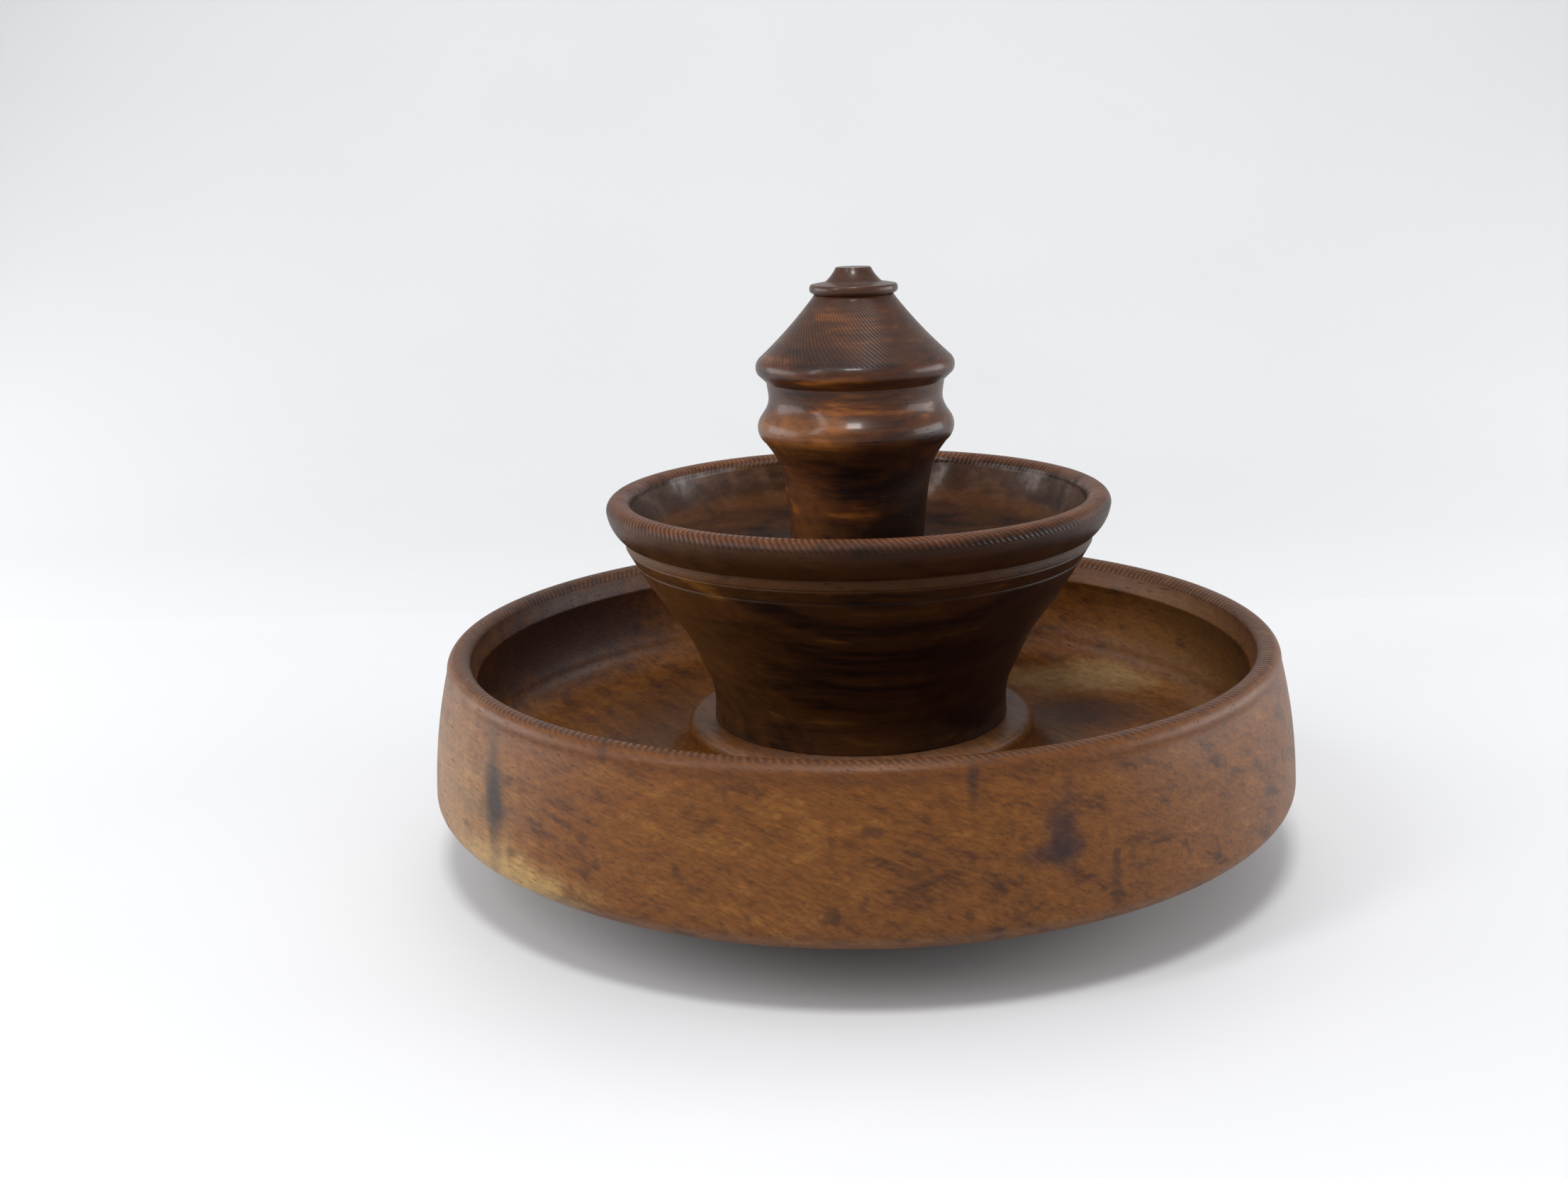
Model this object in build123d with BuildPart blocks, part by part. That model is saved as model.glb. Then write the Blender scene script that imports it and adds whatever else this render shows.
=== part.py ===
from build123d import *
import os

os.makedirs("parts", exist_ok=True)

# Two-tier turned wooden serving dish. Millimetres, +Z up along the turning axis, z = 0 on the
# surface that the dish stands on. A deep-walled lower dish turns on a small foot disc through a
# ball race. A pedestal bowl sits on the boss in the dish's floor, and one tie rod from the finial
# clamps the set together and carries it in the foot's bush.

# ---- foot disc and felt -------------------------------------------------------------------
FOOT_R = 81.0
FELT_T = 1.5
FELT_R = 76.0
FELT_HOLE_R = 16.0
FOOT_TOP_Z = 12.6
FOOT_EDGE_ROUND = 2.0
FOOT_COUNTERBORE_R = 10.0
FOOT_WEB_Z = 7.0

# ---- lower dish ---------------------------------------------------------------------------
RUNNING_GAP = 0.8
DISH_UNDER_Z = FOOT_TOP_Z + RUNNING_GAP
DISH_UNDER_R = 104.0
TURN_MID = (121.0, 18.3)
BELLY = (127.5, 25.5)
WALL_MID = (125.9, 43.0)
RIM_OUTER = (122.2, 60.8)
RIM_CREST = (118.5, 65.0)
RIM_INNER = (115.2, 62.0)
RIM_ROUND_OUT = (121.3, 63.8)
RIM_ROUND_IN = (116.2, 64.2)
BEVEL_FOOT = (113.8, 57.0)
UNDERCUT_MID = (117.0, 46.5)
UNDERCUT_FOOT = (116.0, 36.5)
COVE_MID = (113.3, 30.6)
COVE_FOOT_R = 107.0
FLOOR_Z = 28.0
BOSS_FOOT_R = 58.5
BOSS_FLANK_MID = (54.0, 30.8)
BOSS_FLANK_TOP = (52.0, 36.6)
BOSS_EDGE_MID = (51.3, 38.9)
BOSS_TOP_R = 49.4
BOSS_TOP_Z = 39.8
MORTISE_R = 20.1
MORTISE_Z = 33.6
CLAMP_BORE_R = 10.0
CLAMP_BORE_Z = 20.6

# ---- pedestal bowl ------------------------------------------------------------------------
SPIGOT_R = 20.0
SPIGOT_Z = 34.0
RELIEF_R = 38.0
RELIEF_H = 1.0
PEDESTAL_FOOT_R = 44.0
PEDESTAL_POINTS = [(44.4, 50.5), (47.4, 58.0), (51.3, 66.5), (57.5, 75.7), (64.0, 85.7)]
NECK_TOP = (68.5, 93.6)
NECK_STEP = (68.3, 96.2)
LIP_UNDER = (69.9, 96.8)
LIP_FACE_MID = (72.5, 100.2)
LIP_WIDE = (73.7, 104.2)
LIP_ROUND_OUT = (72.7, 106.6)
LIP_CREST = (70.0, 107.5)
LIP_ROUND_IN = (67.6, 106.8)
LIP_INNER = (66.5, 104.6)
BOWL_POINTS = [(63.5, 98.0), (57.0, 89.0), (46.5, 82.0)]
BOWL_FLOOR_R = 34.0
BOWL_FLOOR_Z = 79.5
GROOVE_PLACES = [(65.95, 89.2), (68.35, 93.2)]
GROOVE_R = 0.75
FINIAL_SOCKET_R = 12.05
FINIAL_SOCKET_Z = 76.2
FINIAL_SEAT_R = 19.6
FINIAL_SEAT_Z = 78.5

# ---- finial and its cap -------------------------------------------------------------------
FINIAL_SPIGOT_R = 11.95
FINIAL_SPIGOT_Z = 76.4
SHAFT_POINTS = [(19.7, 94.0), (21.0, 108.0)]
SHAFT_FOOT_R = 19.2
SHAFT_TOP = (23.4, 117.6)
LOWER_RIDGE_UNDER = (26.6, 122.4)
LOWER_RIDGE_MID = (28.6, 127.0)
LOWER_RIDGE_TOP = (27.7, 129.6)
COVE_WAIST = (25.4, 134.0)
COVE_TOP = (25.8, 139.8)
COVE_TANGENTS = ((-0.7, 1), (0.1, 1))
UPPER_RIDGE_LOW = (28.3, 142.2)
UPPER_RIDGE_MID = (28.8, 144.2)
UPPER_RIDGE_TOP = (27.9, 146.4)
CONE_MID = (19.0, 155.2)
CONE_TOP = (12.1, 163.3)
NECK_R = 11.4
NECK_Z = 164.4
CAP_FLANGE_LOW = (12.5, 165.1)
CAP_FLANGE_MID = (12.7, 165.9)
CAP_FLANGE_TOP = (12.3, 167.2)
BUTTON_FOOT = (8.2, 167.9)
BUTTON_MID = (6.2, 170.0)
BUTTON_TOP_R = 5.0
OVERALL_H = 172.0
CAP_TENON_R = 4.5
CAP_TENON_Z = 153.0
CAP_HOLE_Z = 152.6

# ---- hardware -----------------------------------------------------------------------------
ROD_R = 3.0
ROD_CLEAR_R = 3.3
THREAD_R = 3.05
ROD_BOTTOM_Z = 1.0
ROD_TOP_Z = 103.0
ROD_HOLE_TOP_Z = 105.0
ROD_CHAMFER = 0.5
INSERT_R = 5.0
INSERT_Z = 77.0
INSERT_L = 12.0
NUT_FLATS = 10.0
CLAMP_NUT_H = 5.0
CLAMP_WASHER_T = 1.2
CLAMP_WASHER_R = 9.0
CLAMP_WASHER_Z = CLAMP_BORE_Z - CLAMP_WASHER_T
THIN_NUT_H = 3.2
KEEPER_T = 1.0
KEEPER_R = 6.5
BUSH_R = 4.5
BUSH_FLANGE_R = 7.5
BUSH_FLANGE_T = 1.2
END_PLAY = 0.05
KEEPER_Z = FOOT_WEB_Z - BUSH_FLANGE_T - END_PLAY - KEEPER_T
DOWEL_R = 3.0
DOWEL_PITCH_R = 33.0
DOWEL_COUNT = 2
DOWEL_BOTTOM_Z = 32.8
DOWEL_TOP_Z = 47.8
DOWEL_FIT = 0.05
HOLE_END = 0.2

# ---- ball race ----------------------------------------------------------------------------
BALL_R = 2.0
BALL_COUNT = 14
BALL_PITCH_R = 28.0
BALL_Z = FOOT_TOP_Z - 0.3
BALL_GAP = 0.15
RACE_FACE = 1.0
RACE_T = 2.3
RACE_INNER_R = 16.5
RACE_OUTER_R = 36.0
RACE_SEAT_GAP = 0.2
CAGE_T = 1.0
CAGE_INNER_R = 24.8
CAGE_OUTER_R = 31.2
LOWER_RACE_TOP = BALL_Z - RACE_FACE
LOWER_RACE_Z = LOWER_RACE_TOP - RACE_T
UPPER_RACE_Z = BALL_Z + RACE_FACE
UPPER_RACE_TOP = UPPER_RACE_Z + RACE_T
SCREW_COUNT = 4
SCREW_PITCH_R = 20.6
SCREW_HEAD_R = 2.8
SCREW_SHANK_R = 1.4
SCREW_HEAD_H = SCREW_HEAD_R - SCREW_SHANK_R
SCREW_HEAD_ANGLE = 90.0
SCREW_L = 7.4
SCREW_FIT = 0.08
SLOT_W = 0.7
SLOT_DEPTH = 0.6

FROM_BELOW = (Align.CENTER, Align.CENTER, Align.MIN)
LOWER_FACE = Plane(origin=(0, 0, LOWER_RACE_TOP), z_dir=(0, 0, 1))
UPPER_FACE = Plane(origin=(0, 0, UPPER_RACE_Z), z_dir=(0, 0, -1))


# ---- foot: the disc that stays still on the table --------------------------------------------
with BuildPart() as base_disc:
    with BuildSketch(Plane.XZ):
        with BuildLine():
            Polyline((0, FOOT_TOP_Z), (0, FELT_T), (FOOT_R, FELT_T), (FOOT_R, FOOT_TOP_Z), close=True)
        make_face()
    revolve(axis=Axis.Z)
    fillet(base_disc.edges().filter_by(GeomType.CIRCLE), FOOT_EDGE_ROUND)
    with BuildSketch(Plane.XY.offset(FELT_T)):
        Circle(FOOT_COUNTERBORE_R)
    extrude(amount=FOOT_WEB_Z - FELT_T, mode=Mode.SUBTRACT)
    with BuildSketch(Plane.XY.offset(FELT_T)):
        Circle(BUSH_R)
    extrude(amount=FOOT_TOP_Z, mode=Mode.SUBTRACT)
    with BuildSketch(Plane.XY.offset(LOWER_RACE_Z)):
        Circle(RACE_OUTER_R + RACE_SEAT_GAP)
        Circle(RACE_INNER_R - RACE_SEAT_GAP, mode=Mode.SUBTRACT)
    extrude(amount=FOOT_TOP_Z, mode=Mode.SUBTRACT)
    with BuildSketch(Plane.XY.offset(LOWER_RACE_TOP - SCREW_L - HOLE_END)):
        with PolarLocations(SCREW_PITCH_R, SCREW_COUNT):
            Circle(SCREW_SHANK_R + SCREW_FIT)
    extrude(amount=SCREW_L, mode=Mode.SUBTRACT)
base_disc.part.label = "base_disc"
export_step(base_disc.part, "parts/base_disc.step")

with BuildPart() as base_felt:
    with BuildSketch():
        Circle(FELT_R)
        Circle(FELT_HOLE_R, mode=Mode.SUBTRACT)
    extrude(amount=FELT_T)
base_felt.part.label = "base_felt"
export_step(base_felt.part, "parts/base_felt.step")

with BuildPart() as pivot_bush:
    with BuildSketch(Plane.XY.offset(FOOT_WEB_Z - BUSH_FLANGE_T)):
        Circle(BUSH_FLANGE_R)
    extrude(amount=BUSH_FLANGE_T)
    with BuildSketch(Plane.XY.offset(FOOT_WEB_Z)):
        Circle(BUSH_R)
    extrude(amount=FOOT_TOP_Z - FOOT_WEB_Z)
    with BuildSketch(Plane.XY.offset(FOOT_WEB_Z - BUSH_FLANGE_T)):
        Circle(THREAD_R)
    extrude(amount=FOOT_TOP_Z, mode=Mode.SUBTRACT)
pivot_bush.part.label = "pivot_bush"
export_step(pivot_bush.part, "parts/pivot_bush.step")


# ---- ball race: two grooved rings, a cage and its balls --------------------------------------
def race_ring(bottom_z, face):
    """Make a flat ring from bottom_z up, with a ball groove and screw holes sunk into its face."""
    with BuildPart() as ring:
        with BuildSketch(Plane.XY.offset(bottom_z)):
            Circle(RACE_OUTER_R)
            Circle(RACE_INNER_R, mode=Mode.SUBTRACT)
        extrude(amount=RACE_T)
        with BuildSketch(Plane.XZ):
            with Locations((BALL_PITCH_R, BALL_Z)):
                Circle(BALL_R + BALL_GAP)
        revolve(axis=Axis.Z, mode=Mode.SUBTRACT)
        with Locations(face):
            with PolarLocations(SCREW_PITCH_R, SCREW_COUNT):
                CounterSinkHole(
                    SCREW_SHANK_R + SCREW_FIT,
                    SCREW_HEAD_R + SCREW_FIT,
                    counter_sink_angle=SCREW_HEAD_ANGLE,
                )
    return ring


def race_screws(face):
    """Make the slotted countersunk screws that fix a ring, heads flush with its face."""
    with BuildPart() as screws:
        with Locations(Plane(origin=face.origin, z_dir=-face.z_dir)):
            with PolarLocations(SCREW_PITCH_R, SCREW_COUNT):
                Cone(SCREW_HEAD_R, SCREW_SHANK_R, SCREW_HEAD_H, align=FROM_BELOW)
                Cylinder(SCREW_SHANK_R, SCREW_L, align=FROM_BELOW)
                Box(2 * SCREW_HEAD_R, SLOT_W, SLOT_DEPTH, align=FROM_BELOW, mode=Mode.SUBTRACT)
    return screws


lower_race = race_ring(LOWER_RACE_Z, LOWER_FACE)
lower_race.part.label = "lower_race"
export_step(lower_race.part, "parts/lower_race.step")

lower_race_screws = race_screws(LOWER_FACE)
lower_race_screws.part.label = "lower_race_screws"
export_step(lower_race_screws.part, "parts/lower_race_screws.step")

upper_race = race_ring(UPPER_RACE_Z, UPPER_FACE)
upper_race.part.label = "upper_race"
export_step(upper_race.part, "parts/upper_race.step")

upper_race_screws = race_screws(UPPER_FACE)
upper_race_screws.part.label = "upper_race_screws"
export_step(upper_race_screws.part, "parts/upper_race_screws.step")

with BuildPart() as ball_cage:
    with BuildSketch(Plane.XY.offset(BALL_Z - CAGE_T / 2)):
        Circle(CAGE_OUTER_R)
        Circle(CAGE_INNER_R, mode=Mode.SUBTRACT)
        with PolarLocations(BALL_PITCH_R, BALL_COUNT):
            Circle(BALL_R + BALL_GAP, mode=Mode.SUBTRACT)
    extrude(amount=CAGE_T)
ball_cage.part.label = "ball_cage"
export_step(ball_cage.part, "parts/ball_cage.step")

with BuildPart() as bearing_balls:
    with Locations((0, 0, BALL_Z)):
        with PolarLocations(BALL_PITCH_R, BALL_COUNT):
            Sphere(BALL_R)
bearing_balls.part.label = "bearing_balls"
export_step(bearing_balls.part, "parts/bearing_balls.step")


# ---- lower dish: deep wall, rounded rim, undercut inside, boss in the middle of its floor -----
with BuildPart() as dish:
    with BuildSketch(Plane.XZ):
        with BuildLine():
            Line((0, DISH_UNDER_Z), (DISH_UNDER_R, DISH_UNDER_Z))
            Spline((DISH_UNDER_R, DISH_UNDER_Z), TURN_MID, BELLY, tangents=((1, 0), (0, 1)))
            ThreePointArc(BELLY, WALL_MID, RIM_OUTER)
            ThreePointArc(RIM_OUTER, RIM_ROUND_OUT, RIM_CREST)
            ThreePointArc(RIM_CREST, RIM_ROUND_IN, RIM_INNER)
            Line(RIM_INNER, BEVEL_FOOT)
            ThreePointArc(BEVEL_FOOT, UNDERCUT_MID, UNDERCUT_FOOT)
            ThreePointArc(UNDERCUT_FOOT, COVE_MID, (COVE_FOOT_R, FLOOR_Z))
            Line((COVE_FOOT_R, FLOOR_Z), (BOSS_FOOT_R, FLOOR_Z))
            ThreePointArc((BOSS_FOOT_R, FLOOR_Z), BOSS_FLANK_MID, BOSS_FLANK_TOP)
            ThreePointArc(BOSS_FLANK_TOP, BOSS_EDGE_MID, (BOSS_TOP_R, BOSS_TOP_Z))
            Polyline((BOSS_TOP_R, BOSS_TOP_Z), (0, BOSS_TOP_Z), (0, DISH_UNDER_Z))
        make_face()
    revolve(axis=Axis.Z)
    with BuildSketch(Plane.XY.offset(MORTISE_Z)):
        Circle(MORTISE_R)
    extrude(amount=BOSS_TOP_Z, mode=Mode.SUBTRACT)
    with BuildSketch(Plane.XY.offset(DOWEL_BOTTOM_Z - HOLE_END)):
        with PolarLocations(DOWEL_PITCH_R, DOWEL_COUNT):
            Circle(DOWEL_R + DOWEL_FIT)
    extrude(amount=BOSS_TOP_Z, mode=Mode.SUBTRACT)
    with BuildSketch(Plane.XY.offset(DISH_UNDER_Z)):
        Circle(ROD_CLEAR_R)
    extrude(amount=BOSS_TOP_Z, mode=Mode.SUBTRACT)
    with BuildSketch(Plane.XY.offset(DISH_UNDER_Z)):
        Circle(CLAMP_BORE_R)
    extrude(amount=CLAMP_BORE_Z - DISH_UNDER_Z, mode=Mode.SUBTRACT)
    with BuildSketch(Plane.XY.offset(DISH_UNDER_Z)):
        Circle(RACE_OUTER_R + RACE_SEAT_GAP)
        Circle(RACE_INNER_R - RACE_SEAT_GAP, mode=Mode.SUBTRACT)
    extrude(amount=UPPER_RACE_TOP - DISH_UNDER_Z, mode=Mode.SUBTRACT)
    with BuildSketch(Plane.XY.offset(DISH_UNDER_Z)):
        with PolarLocations(SCREW_PITCH_R, SCREW_COUNT):
            Circle(SCREW_SHANK_R + SCREW_FIT)
    extrude(amount=UPPER_RACE_Z + SCREW_L + HOLE_END - DISH_UNDER_Z, mode=Mode.SUBTRACT)
dish.part.label = "dish"
export_step(dish.part, "parts/dish.step")


# ---- pedestal bowl: trumpet stem and small upper bowl turned from one block -------------------
with BuildPart() as pedestal_bowl:
    with BuildSketch(Plane.XZ):
        with BuildLine():
            Polyline(
                (0, SPIGOT_Z),
                (SPIGOT_R, SPIGOT_Z),
                (SPIGOT_R, BOSS_TOP_Z + RELIEF_H),
                (RELIEF_R, BOSS_TOP_Z + RELIEF_H),
                (RELIEF_R, BOSS_TOP_Z),
                (PEDESTAL_FOOT_R, BOSS_TOP_Z),
            )
            Spline((PEDESTAL_FOOT_R, BOSS_TOP_Z), *PEDESTAL_POINTS, NECK_TOP)
            Polyline(NECK_TOP, NECK_STEP, LIP_UNDER)
            ThreePointArc(LIP_UNDER, LIP_FACE_MID, LIP_WIDE)
            ThreePointArc(LIP_WIDE, LIP_ROUND_OUT, LIP_CREST)
            ThreePointArc(LIP_CREST, LIP_ROUND_IN, LIP_INNER)
            Spline(LIP_INNER, *BOWL_POINTS, (BOWL_FLOOR_R, BOWL_FLOOR_Z))
            Polyline((BOWL_FLOOR_R, BOWL_FLOOR_Z), (0, BOWL_FLOOR_Z), (0, SPIGOT_Z))
        make_face()
    revolve(axis=Axis.Z)
    with BuildSketch(Plane.XZ):
        with Locations(*GROOVE_PLACES):
            Circle(GROOVE_R)
    revolve(axis=Axis.Z, mode=Mode.SUBTRACT)
    with BuildSketch(Plane.XY.offset(FINIAL_SOCKET_Z)):
        Circle(FINIAL_SOCKET_R)
    extrude(amount=BOWL_FLOOR_Z, mode=Mode.SUBTRACT)
    with BuildSketch(Plane.XY.offset(FINIAL_SEAT_Z)):
        Circle(FINIAL_SEAT_R)
    extrude(amount=BOWL_FLOOR_Z, mode=Mode.SUBTRACT)
    with BuildSketch(Plane.XY.offset(SPIGOT_Z)):
        Circle(ROD_CLEAR_R)
    extrude(amount=BOWL_FLOOR_Z, mode=Mode.SUBTRACT)
    with BuildSketch(Plane.XY.offset(BOSS_TOP_Z)):
        with PolarLocations(DOWEL_PITCH_R, DOWEL_COUNT):
            Circle(DOWEL_R + DOWEL_FIT)
    extrude(amount=DOWEL_TOP_Z + HOLE_END - BOSS_TOP_Z, mode=Mode.SUBTRACT)
pedestal_bowl.part.label = "pedestal_bowl"
export_step(pedestal_bowl.part, "parts/pedestal_bowl.step")

with BuildPart() as locating_dowels:
    with BuildSketch(Plane.XY.offset(DOWEL_BOTTOM_Z)):
        with PolarLocations(DOWEL_PITCH_R, DOWEL_COUNT):
            Circle(DOWEL_R)
    extrude(amount=DOWEL_TOP_Z - DOWEL_BOTTOM_Z)
locating_dowels.part.label = "locating_dowels"
export_step(locating_dowels.part, "parts/locating_dowels.step")


# ---- finial: handle with two ridges and a cone, and the cap let into its top ------------------
with BuildPart() as finial:
    with BuildSketch(Plane.XZ):
        with BuildLine():
            Polyline(
                (0, FINIAL_SPIGOT_Z),
                (FINIAL_SPIGOT_R, FINIAL_SPIGOT_Z),
                (FINIAL_SPIGOT_R, FINIAL_SEAT_Z),
                (SHAFT_FOOT_R, FINIAL_SEAT_Z),
            )
            Spline((SHAFT_FOOT_R, FINIAL_SEAT_Z), *SHAFT_POINTS, SHAFT_TOP, LOWER_RIDGE_UNDER)
            ThreePointArc(LOWER_RIDGE_UNDER, LOWER_RIDGE_MID, LOWER_RIDGE_TOP)
            Spline(LOWER_RIDGE_TOP, COVE_WAIST, COVE_TOP, tangents=COVE_TANGENTS)
            Line(COVE_TOP, UPPER_RIDGE_LOW)
            ThreePointArc(UPPER_RIDGE_LOW, UPPER_RIDGE_MID, UPPER_RIDGE_TOP)
            ThreePointArc(UPPER_RIDGE_TOP, CONE_MID, CONE_TOP)
            Polyline(CONE_TOP, (NECK_R, NECK_Z), (0, NECK_Z), (0, FINIAL_SPIGOT_Z))
        make_face()
    revolve(axis=Axis.Z)
    with BuildSketch(Plane.XY.offset(FINIAL_SPIGOT_Z)):
        Circle(ROD_CLEAR_R)
    extrude(amount=ROD_HOLE_TOP_Z - FINIAL_SPIGOT_Z, mode=Mode.SUBTRACT)
    with BuildSketch(Plane.XY.offset(FINIAL_SPIGOT_Z)):
        Circle(INSERT_R)
    extrude(amount=INSERT_Z + INSERT_L - FINIAL_SPIGOT_Z, mode=Mode.SUBTRACT)
    with BuildSketch(Plane.XY.offset(CAP_HOLE_Z)):
        Circle(CAP_TENON_R)
    extrude(amount=NECK_Z, mode=Mode.SUBTRACT)
finial.part.label = "finial"
export_step(finial.part, "parts/finial.step")

with BuildPart() as finial_cap:
    with BuildSketch(Plane.XZ):
        with BuildLine():
            Polyline(
                (0, CAP_TENON_Z),
                (CAP_TENON_R, CAP_TENON_Z),
                (CAP_TENON_R, NECK_Z),
                (NECK_R, NECK_Z),
                CAP_FLANGE_LOW,
            )
            ThreePointArc(CAP_FLANGE_LOW, CAP_FLANGE_MID, CAP_FLANGE_TOP)
            Line(CAP_FLANGE_TOP, BUTTON_FOOT)
            ThreePointArc(BUTTON_FOOT, BUTTON_MID, (BUTTON_TOP_R, OVERALL_H))
            Polyline((BUTTON_TOP_R, OVERALL_H), (0, OVERALL_H), (0, CAP_TENON_Z))
        make_face()
    revolve(axis=Axis.Z)
finial_cap.part.label = "finial_cap"
export_step(finial_cap.part, "parts/finial_cap.step")


# ---- tie rod and what it clamps ----------------------------------------------------------------
with BuildPart() as tie_rod:
    with BuildSketch(Plane.XY.offset(ROD_BOTTOM_Z)):
        Circle(ROD_R)
    extrude(amount=ROD_TOP_Z - ROD_BOTTOM_Z)
    chamfer(tie_rod.edges().filter_by(GeomType.CIRCLE), ROD_CHAMFER)
tie_rod.part.label = "tie_rod"
export_step(tie_rod.part, "parts/tie_rod.step")

with BuildPart() as finial_insert:
    with BuildSketch(Plane.XY.offset(INSERT_Z)):
        Circle(INSERT_R)
        Circle(THREAD_R, mode=Mode.SUBTRACT)
    extrude(amount=INSERT_L)
finial_insert.part.label = "finial_insert"
export_step(finial_insert.part, "parts/finial_insert.step")

with BuildPart() as clamp_washer:
    with BuildSketch(Plane.XY.offset(CLAMP_WASHER_Z)):
        Circle(CLAMP_WASHER_R)
        Circle(ROD_CLEAR_R, mode=Mode.SUBTRACT)
    extrude(amount=CLAMP_WASHER_T)
clamp_washer.part.label = "clamp_washer"
export_step(clamp_washer.part, "parts/clamp_washer.step")

with BuildPart() as clamp_nut:
    with BuildSketch(Plane.XY.offset(CLAMP_WASHER_Z - CLAMP_NUT_H)):
        RegularPolygon(NUT_FLATS / 2, 6, major_radius=False)
        Circle(THREAD_R, mode=Mode.SUBTRACT)
    extrude(amount=CLAMP_NUT_H)
clamp_nut.part.label = "clamp_nut"
export_step(clamp_nut.part, "parts/clamp_nut.step")

with BuildPart() as keeper_washer:
    with BuildSketch(Plane.XY.offset(KEEPER_Z)):
        Circle(KEEPER_R)
        Circle(ROD_CLEAR_R, mode=Mode.SUBTRACT)
    extrude(amount=KEEPER_T)
keeper_washer.part.label = "keeper_washer"
export_step(keeper_washer.part, "parts/keeper_washer.step")

with BuildPart() as keeper_nut:
    with BuildSketch(Plane.XY.offset(KEEPER_Z - THIN_NUT_H)):
        RegularPolygon(NUT_FLATS / 2, 6, major_radius=False)
        Circle(THREAD_R, mode=Mode.SUBTRACT)
    extrude(amount=THIN_NUT_H)
keeper_nut.part.label = "keeper_nut"
export_step(keeper_nut.part, "parts/keeper_nut.step")
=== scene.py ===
"""Looks of a turned two-tier serving dish: finishes, lathe-turned pieces, stage and camera.

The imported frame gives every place. Outlines are written in millimetres, as a turner draws them,
and become metres when a piece is turned. Each sub-assembly is a class that builds its pieces and
dresses them. Every pattern runs on object coordinates, so it turns with the dish.
"""

import logging
import math
from dataclasses import dataclass, field
from enum import Enum

import bmesh
import bpy
import numpy as np
from mathutils import Matrix, Vector, noise


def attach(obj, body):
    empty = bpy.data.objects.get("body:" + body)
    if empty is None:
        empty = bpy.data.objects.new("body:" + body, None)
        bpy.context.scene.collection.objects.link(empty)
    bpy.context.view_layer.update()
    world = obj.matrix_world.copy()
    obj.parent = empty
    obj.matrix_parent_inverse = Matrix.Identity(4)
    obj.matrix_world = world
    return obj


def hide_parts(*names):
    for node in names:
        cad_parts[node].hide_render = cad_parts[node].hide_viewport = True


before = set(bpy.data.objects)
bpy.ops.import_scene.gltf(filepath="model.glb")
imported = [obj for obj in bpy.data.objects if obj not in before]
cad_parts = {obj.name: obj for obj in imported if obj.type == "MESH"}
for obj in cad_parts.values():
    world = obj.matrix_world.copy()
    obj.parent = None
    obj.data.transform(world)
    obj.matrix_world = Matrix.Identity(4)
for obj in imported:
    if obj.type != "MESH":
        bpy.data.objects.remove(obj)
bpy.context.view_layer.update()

MM = 0.001
# Radii in millimetres: the rod's hole, and the seat of the ball race.
ROD_HOLE = 3.3
RACE_INNER, RACE_OUTER = 16.3, 36.2
LOG = logging.getLogger("dish")

Colour = tuple[float, float, float]
Point = tuple[float, float]
Place = tuple[float, float, float]


class Slot(Enum):
    """The record's material slot names."""

    DISH_WOOD = "dish_wood"
    BOWL_WOOD = "bowl_wood"
    FINIAL_WOOD = "finial_wood"
    FOOT_WOOD = "foot_wood"
    FELT = "felt"


class Body(Enum):
    """The frame's bodies that new pieces ride on."""

    FOOT = "foot"
    DISH_SET = "dish_set"


# ---- Shader maths ----------------------------


class Wire:
    """One number flowing through a material. Sums and products of wires add their Math nodes."""

    def __init__(self, board: "Board", socket: bpy.types.NodeSocket) -> None:
        """Keep the socket and the board that it is drawn on."""
        self.board = board
        self.socket = socket

    def __add__(self, other: "Wire | float") -> "Wire":
        """Return self plus other."""
        return self.board.maths("ADD", self, other)

    __radd__ = __add__

    def __sub__(self, other: "Wire | float") -> "Wire":
        """Return self minus other."""
        return self.board.maths("SUBTRACT", self, other)

    def __rsub__(self, other: float) -> "Wire":
        """Return other minus self."""
        return self.board.maths("SUBTRACT", other, self)

    def __mul__(self, other: "Wire | float") -> "Wire":
        """Return self times other."""
        return self.board.maths("MULTIPLY", self, other)

    __rmul__ = __mul__

    def step(self, low: float, high: float) -> "Wire":
        """Return a smooth step of this value.

        Args:
            low: Value where the step starts from 0.
            high: Value where it reaches 1. Below low, the step falls instead of rising.

        Returns:
            A wire from 0 to 1.
        """
        settings = {"interpolation_type": "SMOOTHSTEP"}
        ends = {"From Min": min(low, high), "From Max": max(low, high)}
        if high < low:
            ends |= {"To Min": 1.0, "To Max": 0.0}
        return self.board.add("ShaderNodeMapRange", settings, {"Value": self, **ends}, "Result")

    def wave(self) -> "Wire":
        """Return the sine of this value, moved to the range 0 to 1."""
        return self.board.maths("SINE", self) * 0.5 + 0.5


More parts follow.
